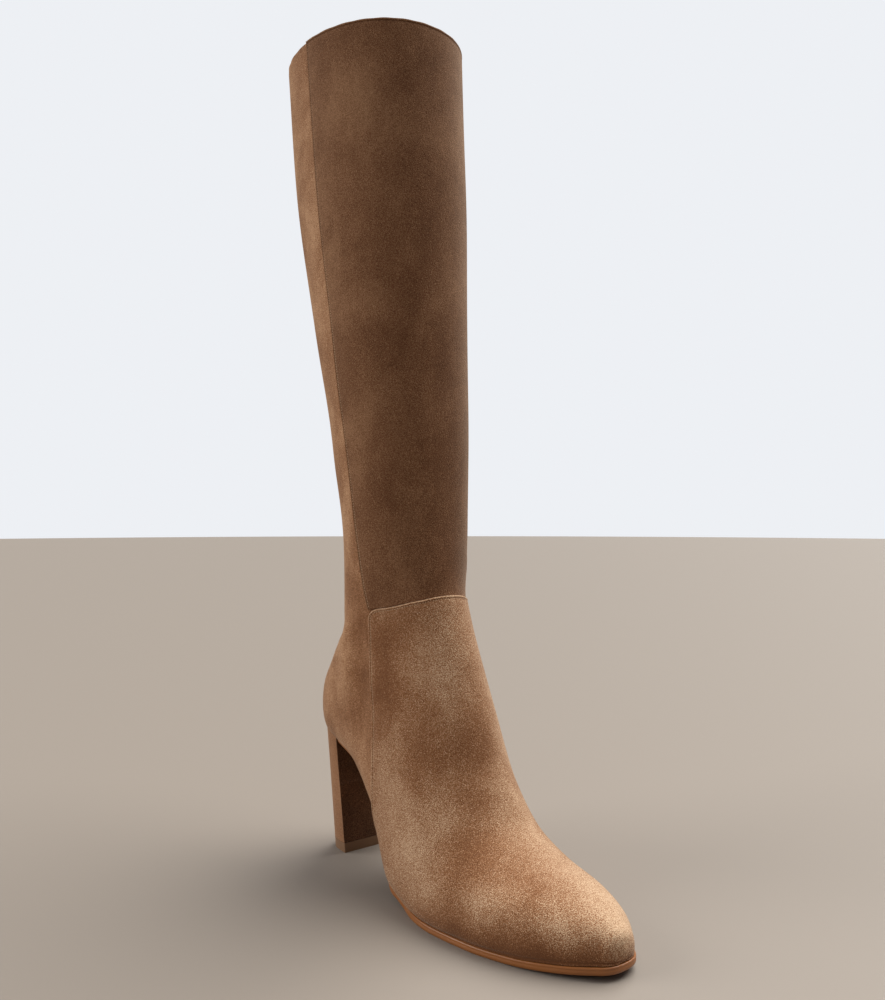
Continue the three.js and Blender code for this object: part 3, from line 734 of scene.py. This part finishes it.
far_share = length_along(last_point(across_top_station, across_top_turn))
far_share /= far_share[-1]
vamp_station, vamp_turn = net_between(
    (border_station, border_turn), (0 * far_share, 2 * math.pi * far_share),
    (across_top_station, across_top_turn),
)
vamp_station = np.clip(vamp_station, 0, 1)
open_border = border_turn > 1e-4
vamp_rim = np.concatenate([
    last_point(border_station, border_turn)[open_border],
    last_point(border_station, 2 * math.pi - border_turn)[open_border],
    last_point(whole_station, whole_turn),
])
# Painted light and shade on the vamp: painted highlights over the toe, up the inner side and low on the outer
# side; painted shade beside the rear edge, over the middle and in a band along the bottom just above the sole
VAMP_PAINTED_LIGHT_AND_NAP = [
    (222, 14, 34, 20, 0.34), (226, 0, 20, 12, 0.22), (197, 24, 46, 22, 0.28), (172, 16, 54, 22, 0.3),
    (145, 22, 78, 22, 0.18), (120, 30, 104, 26, 0.12), (118, -42, 32, 14, 0.26), (135, -36, 48, 14, 0.14),
    (130, -44, 16, 10, 0.16), (170, -36, 24, 12, 0.2), (208, -22, 18, 11, 0.22),
    (119, -13, 112, 10, 0.14), (112, -20, 124, 8, 0.1), (81, -32, 133, 13, -0.36),
    (84, -34, 108, 12, -0.34), (82, -36, 86, 10, -0.16), (102, -26, 92, 14, -0.14),
    (136, -6, 84, 16, -0.3), (118, -30, 77, 14, -0.26), (140, -14, 64, 12, -0.2),
    (152, -30, 38, 14, -0.34), (165, -14, 50, 10, -0.14), (188, -16, 36, 10, -0.1),
    (218, -12, 1, 12, -0.85), (203, -27, 1, 12, -0.85), (183, -38, 0, 12, -0.85),
    (160, -43, 0, 12, -0.75), (138, -41, 2, 10, -0.4), (225, 8, 1, 10, -0.7), (205, 30, 1, 10, -0.3),
]
vamp = leather_piece(
    "vamp_suede", vamp_station, vamp_turn, VAMP_OUTER, VAMP_INNER, VAMP_SUEDE, vamp_rim,
    rounding=0.0009, sewn=VAMP_SEAM, nap_and_painted_light_patches=VAMP_PAINTED_LIGHT_AND_NAP,
)
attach(vamp, "root")
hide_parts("vamp")

# The front panel of the shaft: one piece of suede from the vamp's top edge up to the collar. It laps over
# the back piece at both side seams, with a row of stitches beside each edge.
PANEL_INNER = 0.0003
PANEL_OUTER = 0.0012
PANEL_EDGE = [(0.298, 0), (0.275, 0.12), (0.248, 0.28), (0.205, 0.48), (0.11, 1.05)]
PANEL_SEAM = 0.0014
PANEL_SUEDE = suede_material(
    "front_panel_nap", (0.088, 0.035, 0.014), (0.176, 0.077, 0.035), (0.334, 0.185, 0.097),
    mottle=0.5, fibre=0.66, sewn=PANEL_SEAM,
)
side_line = smooth_line([
    (along * FOOT_LENGTH, VAMP_CORNER_HEIGHT + up * (BOOT_HEIGHT - VAMP_CORNER_HEIGHT))
    for along, up in PANEL_EDGE
])
side_line[:, 1] += PANEL_INNER
side_station, side_turn, _ = from_side(side_line[:, 0], np.minimum(side_line[:, 1], BOOT_HEIGHT))
reached = int(np.argmax(side_line[:, 1] >= BOOT_HEIGHT))
side_station, side_turn = side_station[: reached + 1].copy(), side_turn[: reached + 1]
side_station[-1] = 1
seam_station, seam_turn = evenly_on_last(side_station, side_turn, 250, extra=[-d for d in EDGE_STEPS[:5]])
foot_line = np.concatenate([np.linspace(vamp_corner, past_corner, 12)[:-1], top_line]) + [0, PANEL_INNER]
foot_station, foot_turn = wrap_line(foot_line)
foot_station, foot_turn = evenly_on_last(
    np.concatenate([foot_station, foot_station[-2::-1]]),
    np.concatenate([foot_turn, 2 * math.pi - foot_turn[-2::-1]]), 110, extra=both_ends,
)
collar_share = length_along(last_point(foot_station, foot_turn))
collar_share /= collar_share[-1]
collar_turn = seam_turn[-1] + (2 * math.pi - 2 * seam_turn[-1]) * collar_share
panel_station, panel_turn = net_between(
    (seam_station, seam_turn), (foot_station, foot_turn), (1 + 0 * collar_turn, collar_turn)
)
panel_station = np.clip(panel_station, 0, 1)
panel_rim = np.concatenate([
    last_point(seam_station, seam_turn),
    last_point(seam_station, 2 * math.pi - seam_turn),
    collar_line,
])
# Painted shade down the inner side of the panel's front, painted highlights along its outer side
PANEL_PAINTED_LIGHT_AND_NAP = [
    (112, 6, 176, 20, -0.24), (100, 20, 185, 20, -0.24), (104, 14, 230, 34, -0.18),
    (106, 14, 300, 40, -0.16), (110, 14, 380, 40, -0.1), (66, -34, 190, 16, 0.1),
    (60, -38, 250, 22, 0.12), (50, -44, 340, 26, 0.14), (50, -44, 430, 30, 0.12),
]
panel = leather_piece(
    "front_panel_suede", panel_station, panel_turn, PANEL_OUTER, PANEL_INNER, PANEL_SUEDE, panel_rim,
    rounding=0.0006, sewn=PANEL_SEAM, nap_and_painted_light_patches=PANEL_PAINTED_LIGHT_AND_NAP,
)
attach(panel, "root")
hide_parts("front_panel")

# Stitches: waxed thread in one even row beside each lapped edge. Each stitch is a short thread that dips
# into the suede at both ends.
STITCH_PITCH = 0.0015
STITCH_LENGTH = 0.00115
THREAD_THICKNESS = 0.00032
STITCH_CROWN = 0.00014
THREAD = leather_material("sewing_thread", (0.66, 0.45, 0.27), (0.5, 0.31, 0.17), 6000, 0.6, 0.6, 0.00005)


def build_stitcher():
    tree = bpy.data.node_groups.new("stitch_row", "GeometryNodeTree")
    amounts = [(name, "Float") for name in ("Pitch", "Length", "Thickness", "Crown")]
    for name, kind in [("Geometry", "Geometry"), *amounts, ("Thread", "Material")]:
        tree.interface.new_socket(name, in_out="INPUT", socket_type="NodeSocket" + kind)
    tree.interface.new_socket("Geometry", in_out="OUTPUT", socket_type="NodeSocketGeometry")
    given, give = tree.nodes.new("NodeGroupInput").outputs, tree.nodes.new("NodeGroupOutput").inputs

    def scaled(value, factor):
        return add_node(tree, "ShaderNodeMath", {0: value, 1: factor}, operation="MULTIPLY").outputs[0]

    line = add_node(tree, "GeometryNodeMeshToCurve", {"Mesh": given["Geometry"]}).outputs["Curve"]
    values = {"Curve": line, "Length": given["Pitch"]}
    spaced = add_node(tree, "GeometryNodeResampleCurve", values, mode="LENGTH")
    outward = add_node(tree, "GeometryNodeInputNamedAttribute", {"Name": "outward"}, data_type="FLOAT_VECTOR")
    forward = add_node(tree, "GeometryNodeInputTangent").outputs["Tangent"]
    turn = add_node(tree, "FunctionNodeAlignRotationToVector", {"Vector": forward}, axis="X")
    values = {"Rotation": turn.outputs["Rotation"], "Vector": outward.outputs["Attribute"]}
    roll = add_node(tree, "FunctionNodeAlignRotationToVector", values, axis="Z", pivot_axis="X")
    top = add_node(tree, "ShaderNodeCombineXYZ", {"Z": given["Crown"]})
    arch = {"Resolution": 5, "Middle": top.outputs["Vector"]}
    for end, factor in (("Start", -0.5), ("End", 0.5)):
        values = {"X": scaled(given["Length"], factor), "Z": scaled(given["Crown"], -1)}
        arch[end] = add_node(tree, "ShaderNodeCombineXYZ", values).outputs["Vector"]
    stitch = add_node(tree, "GeometryNodeCurveQuadraticBezier", arch)
    values = {"Resolution": 6, "Radius": scaled(given["Thickness"], 0.5)}
    round_ = add_node(tree, "GeometryNodeCurvePrimitiveCircle", values)
    values = {"Curve": stitch.outputs["Curve"], "Profile Curve": round_.outputs["Curve"], "Fill Caps": True}
    thread = add_node(tree, "GeometryNodeCurveToMesh", values)
    values = {"Points": spaced.outputs["Curve"], "Instance": thread.outputs["Mesh"]}
    values["Rotation"] = roll.outputs["Rotation"]
    row = add_node(tree, "GeometryNodeInstanceOnPoints", values)
    real = add_node(tree, "GeometryNodeRealizeInstances", {"Geometry": row.outputs["Instances"]})
    values = {"Geometry": real.outputs["Geometry"], "Material": given["Thread"]}
    dyed = add_node(tree, "GeometryNodeSetMaterial", values)
    tree.links.new(dyed.outputs["Geometry"], give["Geometry"])
    return tree


stitcher = build_stitcher()


# The same line of the last, moved sideways over its surface, to the left of its run
def moved_aside(station, turn, reach):
    points = last_point(station, turn)
    run = np.gradient(points, axis=0)
    run /= np.linalg.norm(run, axis=1, keepdims=True)
    side = np.cross(last_normal(station, turn), run)
    small = 0.0004
    by_station = (last_point(station + small, turn) - last_point(station - small, turn)) / (2 * small)
    by_turn = (last_point(station, turn + small) - last_point(station, turn - small)) / (2 * small)
    a, b, c = (by_station**2).sum(1), (by_station * by_turn).sum(1), (by_turn**2).sum(1)
    d, e = (side * by_station).sum(1), (side * by_turn).sum(1)
    spread = a * c - b * b
    return station + reach * (c * d - b * e) / spread, turn + reach * (a * e - b * d) / spread


def stitch_row(name, station, turn, growth):
    points = on_last(station, turn, growth + 0 * station)
    mesh = bpy.data.meshes.new(name)
    mesh.from_pydata([tuple(p) for p in points], [(i, i + 1) for i in range(len(points) - 1)], [])
    outward = mesh.attributes.new("outward", "FLOAT_VECTOR", "POINT")
    outward.data.foreach_set("vector", last_normal(station, turn).reshape(-1).astype(np.float32))
    row = bpy.data.objects.new(name, mesh)
    bpy.context.collection.objects.link(row)
    sewing = row.modifiers.new("stitches", "NODES")
    sewing.node_group = stitcher
    values = {"Pitch": STITCH_PITCH, "Length": STITCH_LENGTH, "Thickness": THREAD_THICKNESS}
    values |= {"Crown": STITCH_CROWN, "Thread": THREAD}
    for item in stitcher.interface.items_tree:
        if item.in_out == "INPUT" and item.name in values:
            sewing[item.identifier] = values[item.name]
    row.data = bpy.data.meshes.new_from_object(row.evaluated_get(bpy.context.evaluated_depsgraph_get()))
    row.modifiers.clear()
    row.data.shade_smooth()
    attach(row, "root")


STITCH_SINK = 0.0002
vamp_border_station = np.concatenate([rear_station, across_top_station[1:-1], rear_station[::-1]])
vamp_border_turn = np.concatenate([rear_turn, across_top_turn[1:-1], 2 * math.pi - rear_turn[::-1]])
line_station, line_turn = evenly_on_last(vamp_border_station, vamp_border_turn, 500)
line_station, line_turn = moved_aside(line_station, line_turn, -VAMP_SEAM)
stitch_row("vamp_stitches", line_station[4:-4], line_turn[4:-4], VAMP_OUTER - STITCH_SINK)
for side, name, line_turn in (
    (1, "outer_seam_stitches", seam_turn), (-1, "inner_seam_stitches", 2 * math.pi - seam_turn)
):
    line_station, line_turn = evenly_on_last(seam_station, line_turn, 420)
    line_station, line_turn = moved_aside(line_station, line_turn, -side * PANEL_SEAM)
    stitch_row(name, line_station[2:-3], line_turn[2:-3], PANEL_OUTER - STITCH_SINK)

# The outsole: a thin leather sole, its edge waxed orange brown with a bright top lip. It stands out past the
# vamp round the forefoot and is skived thin and tucked under at the waist, up to the heel's breast.
CLEARANCE = 0.0003
VAMP_THICKNESS = 0.0017
SOLE_THICKNESS = 0.0035
WAIST_THICKNESS = 0.0026
SOLE_LIP = 0.001
WAIST_INSET = 0.0016
WAIST_END = 0.3
FOREFOOT_START = 0.46
HEEL_BREAST = 0.029
HEEL_FOOT_BREAST = 0.025
TOP_PIECE_HEIGHT = 0.006
SOLE_ROWS = 260


# The upper's bottom edge in plan, on the outer and the inner side, from the toe to the back
edge_share = np.linspace(0, 1, 4000) ** 1.6
edge_stations = open_stations[0] + (open_stations[-1] - open_stations[0]) * edge_share
edge_turns = seat_turn(edge_stations)
outer_edge = last_point(edge_stations, edge_turns)[:, :2]
inner_edge = last_point(edge_stations, 2 * math.pi - edge_turns)[:, :2]


def evenly_in_plan(points, count):
    length = length_along(points)
    where = np.linspace(0, length[-1], count)
    return np.stack([np.interp(where, length, points[:, k]) for k in range(2)], 1)


def forefoot_share(along):
    t = np.clip((along / FOOT_LENGTH - WAIST_END) / (FOREFOOT_START - WAIST_END), 0, 1)
    return t * t * (3 - 2 * t)


def outward_of(loop):
    run = np.gradient(loop, axis=0)
    run /= np.linalg.norm(run, axis=1, keepdims=True)
    return np.stack([run[:, 1], -run[:, 0]], 1)


# Height at a depth square under the upper's bottom edge line
def under_seat(along, depth):
    climb = (seat_height(along + 0.0005) - seat_height(along - 0.0005)) / 0.001
    return seat_height(along) - depth * np.sqrt(1 + climb**2)


def breast_at(height):
    slope = (HEEL_BREAST - HEEL_FOOT_BREAST) / (SEAT_HEIGHT - TOP_PIECE_HEIGHT)
    return HEEL_FOOT_BREAST + (height - TOP_PIECE_HEIGHT) * slope


def sole_height(along, share):
    thickness = WAIST_THICKNESS + (SOLE_THICKNESS - WAIST_THICKNESS) * forefoot_share(along)
    return under_seat(along, CLEARANCE + share * thickness)


# Rings across a sole: over its top face, down the edge's profile on the outer side, back over the
# underside and up the profile on the inner side
def rings_across(loop, outward, profile, height):
    insets, shares = np.array(profile).T
    across = np.linspace(0, 1, SOLE_COLUMNS + 2)[1:-1, None]

    def placed(plan, share):
        return np.column_stack([plan, height(HEEL_BACK - plan[:, 1], share)])

    rings = []
    for k in range(SOLE_ROWS):
        outer_side, inner_side = (loop[n] - outward[n] * insets[:, None] for n in (k, -1 - k))
        top = placed(inner_side[0] + (outer_side[0] - inner_side[0]) * across, shares[0])
        under = placed(outer_side[-1] + (inner_side[-1] - outer_side[-1]) * across, shares[-1])
        outer_side, inner_side = placed(outer_side, shares), placed(inner_side, shares)
        rings.append(np.concatenate([top, outer_side, under, inner_side[::-1]]))
    return rings


SOLE_LEATHER = leather_material("waxed_sole_edge", (0.33, 0.118, 0.028), (0.16, 0.05, 0.012), 1300, 0.5, 0.24)
edge_loop = evenly_in_plan(np.concatenate([outer_edge[::-1], inner_edge]), 4 * SOLE_ROWS)
lip_share = forefoot_share(HEEL_BACK - edge_loop[:, 1])
lip_reach = -WAIST_INSET + (CLEARANCE + VAMP_THICKNESS + SOLE_LIP + WAIST_INSET) * lip_share
sole_loop = edge_loop + outward_of(edge_loop) * lip_reach[:, None]
sole_start = breast_at(under_seat(np.array(HEEL_BREAST), 0.002)) + CLEARANCE
sole_loop = evenly_in_plan(sole_loop[HEEL_BACK - sole_loop[:, 1] > sole_start], 2 * SOLE_ROWS)
sole_out = outward_of(sole_loop)
sole_loop[0, 1] = sole_loop[-1, 1] = HEEL_BACK - sole_start
# The edge's profile from the top face to the underside: inset, and depth as a share of the thickness
SOLE_PROFILE = [
    (0.0011, 0), (0.0006, 0.0), (0.00028, 0.03), (0.0001, 0.1), (0.00004, 0.2), (0.00012, 0.3),
    (0.00016, 0.36), (0.00006, 0.45), (0, 0.58), (0.00004, 0.74), (0.0002, 0.9), (0.0005, 0.99), (0.001, 1),
]
SOLE_COLUMNS = 26
sole_rings = rings_across(sole_loop, sole_out, SOLE_PROFILE, sole_height)


# How the end of a ring is closed: by strips between facing points, or down a thin edge's profile
def facing_strips(count):
    return [[j, j + 1, count - 2 - j, count - 1 - j] for j in range((count - 1) // 2)]


def edge_strips(columns, profile):
    count = 2 * (columns + profile)
    strips = [[columns + m, columns + m + 1, count - 2 - m, count - 1 - m] for m in range(profile - 1)]
    strips[0] += list(range(columns))
    low = columns + profile
    strips[-1] = [low - 2, *range(low - 1, low + columns + 2)]
    return strips


# A closed skin over rings of equal length, its ends closed by the given strips
def ringed_piece(name, rings, strips, material, flip=False):
    count = len(rings[0])
    points = np.concatenate(rings)
    faces = []
    for i in range(len(rings) - 1):
        for j in range(count):
            a, b = i * count + j, i * count + (j + 1) % count
            faces.append([a, b, b + count, a + count])
    for start, order in ((0, -1), ((len(rings) - 1) * count, 1)):
        faces += [[start + c for c in dict.fromkeys(strip)][::order] for strip in strips]
    if flip:
        faces = [face[::-1] for face in faces]
    piece = mesh_piece(name, points, faces, material)
    piece.data.shade_smooth()
    piece.data.set_sharp_from_angle(angle=math.radians(40))
    return piece


sole_ends = edge_strips(SOLE_COLUMNS, len(SOLE_PROFILE))
outsole = ringed_piece("outsole_leather", sole_rings, sole_ends, SOLE_LEATHER)
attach(outsole, "root")
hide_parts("outsole")

# The insole: a smooth leather sock of its own thickness, glued over the sole inside the foot. Its edge is
# eased and lies just inside the lining.
INSOLE_THICKNESS = 0.002
INSOLE_LEATHER = leather_material("insole_sock", (0.5, 0.34, 0.2), (0.36, 0.23, 0.13), 700, 0.5, 0.5)
# The edge's profile from the top face to the underside: inset, and height over the upper's bottom edge
SOCK_PROFILE = [(0.0008, 1), (0.0003, 0.94), (0.0001, 0.8), (0, 0.5), (0.0001, 0.15), (0.0005, 0.04)]


def sock_height(along, share):
    return seat_height(along) + share * INSOLE_THICKNESS


sock_loop = evenly_in_plan(edge_loop - outward_of(edge_loop) * (WALL + 2 * CLEARANCE), 2 * SOLE_ROWS)
sock_rings = rings_across(sock_loop, outward_of(sock_loop), SOCK_PROFILE, sock_height)
sock_ends = edge_strips(SOLE_COLUMNS, len(SOCK_PROFILE))
insole = ringed_piece("insole_sock", sock_rings, sock_ends, INSOLE_LEATHER)
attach(insole, "root")
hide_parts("insole")

# The heel: a moulded block covered in the same suede, flat at the breast and round behind, tapering from
# the seat down to the top piece.
HEEL_FOOT_DEPTH = 0.0225
HEEL_FOOT_WIDTH = 0.049
HEEL_FOOT_SHIFT = 0.004
HEEL_BACK_POWER = 3.2
HEEL_STEPS = 150
# The heel's darkest colour is used for the painted shade on its breast
HEEL_SUEDE = suede_material(
    "heel_nap", (0.06, 0.024, 0.01), (0.29, 0.132, 0.06), (0.5, 0.29, 0.16), mottle=0.22, fibre=0.35
)
back_loop = np.concatenate([outer_edge, inner_edge[::-1]])
back_loop = back_loop[HEEL_BACK - back_loop[:, 1] < HEEL_BREAST]
corner_y = HEEL_BACK - HEEL_BREAST
seat_ring = np.concatenate([[[back_loop[0, 0], corner_y]], back_loop, [[back_loop[-1, 0], corner_y]]])
seat_ring = evenly_in_plan(seat_ring, HEEL_STEPS)
turn = np.linspace(0, math.pi, 1200)
foot_aside = np.sign(np.cos(turn)) * np.abs(np.cos(turn)) ** (2 / HEEL_BACK_POWER)
foot_back = np.sin(turn).clip(0) ** (2 / HEEL_BACK_POWER)
foot_x = HEEL_FOOT_SHIFT - foot_aside * HEEL_FOOT_WIDTH / 2
foot_along = HEEL_FOOT_BREAST - HEEL_FOOT_DEPTH * foot_back
foot_ring = evenly_in_plan(np.column_stack([foot_x, HEEL_BACK - foot_along]), HEEL_STEPS)


def heel_ring(height):
    share = (height - TOP_PIECE_HEIGHT) / (SEAT_HEIGHT - TOP_PIECE_HEIGHT)
    share = np.broadcast_to(share, (HEEL_STEPS,))[:, None]
    return foot_ring + (seat_ring - foot_ring) * share


def rounded_edges(piece, width):
    bevel = piece.modifiers.new("rounding", "BEVEL")
    bevel.width = width
    bevel.segments = 3
    bevel.limit_method = "ANGLE"
    bevel.angle_limit = math.radians(42)
    made = bpy.data.meshes.new_from_object(piece.evaluated_get(bpy.context.evaluated_depsgraph_get()))
    piece.modifiers.clear()
    piece.data = made
    made.shade_smooth()
    made.set_sharp_from_angle(angle=math.radians(50))


heel_top = np.full(HEEL_STEPS, SEAT_HEIGHT)
for _ in range(6):
    heel_top = under_seat(HEEL_BACK - heel_ring(heel_top)[:, 1], CLEARANCE)
heel_low = TOP_PIECE_HEIGHT + CLEARANCE
heel_rings = []
for share in np.linspace(0, 1, 60):
    height = heel_low + (heel_top - heel_low) * share
    heel_rings.append(np.column_stack([heel_ring(height), height]))
heel = ringed_piece("heel_suede", heel_rings, facing_strips(HEEL_STEPS), HEEL_SUEDE, flip=True)
# Painted shade: the breast, facing the toe under the arch, is pushed to the heel's darkest colour
heel_points = np.array([v.co for v in heel.data.vertices])
behind_breast = breast_at(heel_points[:, 2]) - (HEEL_BACK - heel_points[:, 1])
painted_breast_shade = heel.data.attributes.new("nap_and_painted_light", "FLOAT", "POINT")
painted_breast_shade.data.foreach_set("value", (-0.42 * (behind_breast < 0.0004)).astype(np.float32))
rounded_edges(heel, 0.0013)
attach(heel, "root")
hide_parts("heel")

# The top piece: a plain rubber lift nailed and glued under the heel, in the heel's own outline. It is the
# part that wears and is replaced.
LIFT_RUBBER = leather_material("lift_rubber", (0.22, 0.118, 0.056), (0.14, 0.07, 0.034), 2200, 0.35, 0.55)
lift_heights = np.linspace(0, TOP_PIECE_HEIGHT, 5)
lift_rings = [np.column_stack([heel_ring(height), np.full(HEEL_STEPS, height)]) for height in lift_heights]
top_piece = ringed_piece("top_piece_rubber", lift_rings, facing_strips(HEEL_STEPS), LIFT_RUBBER, flip=True)
rounded_edges(top_piece, 0.0004)
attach(top_piece, "root")
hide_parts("top_piece")
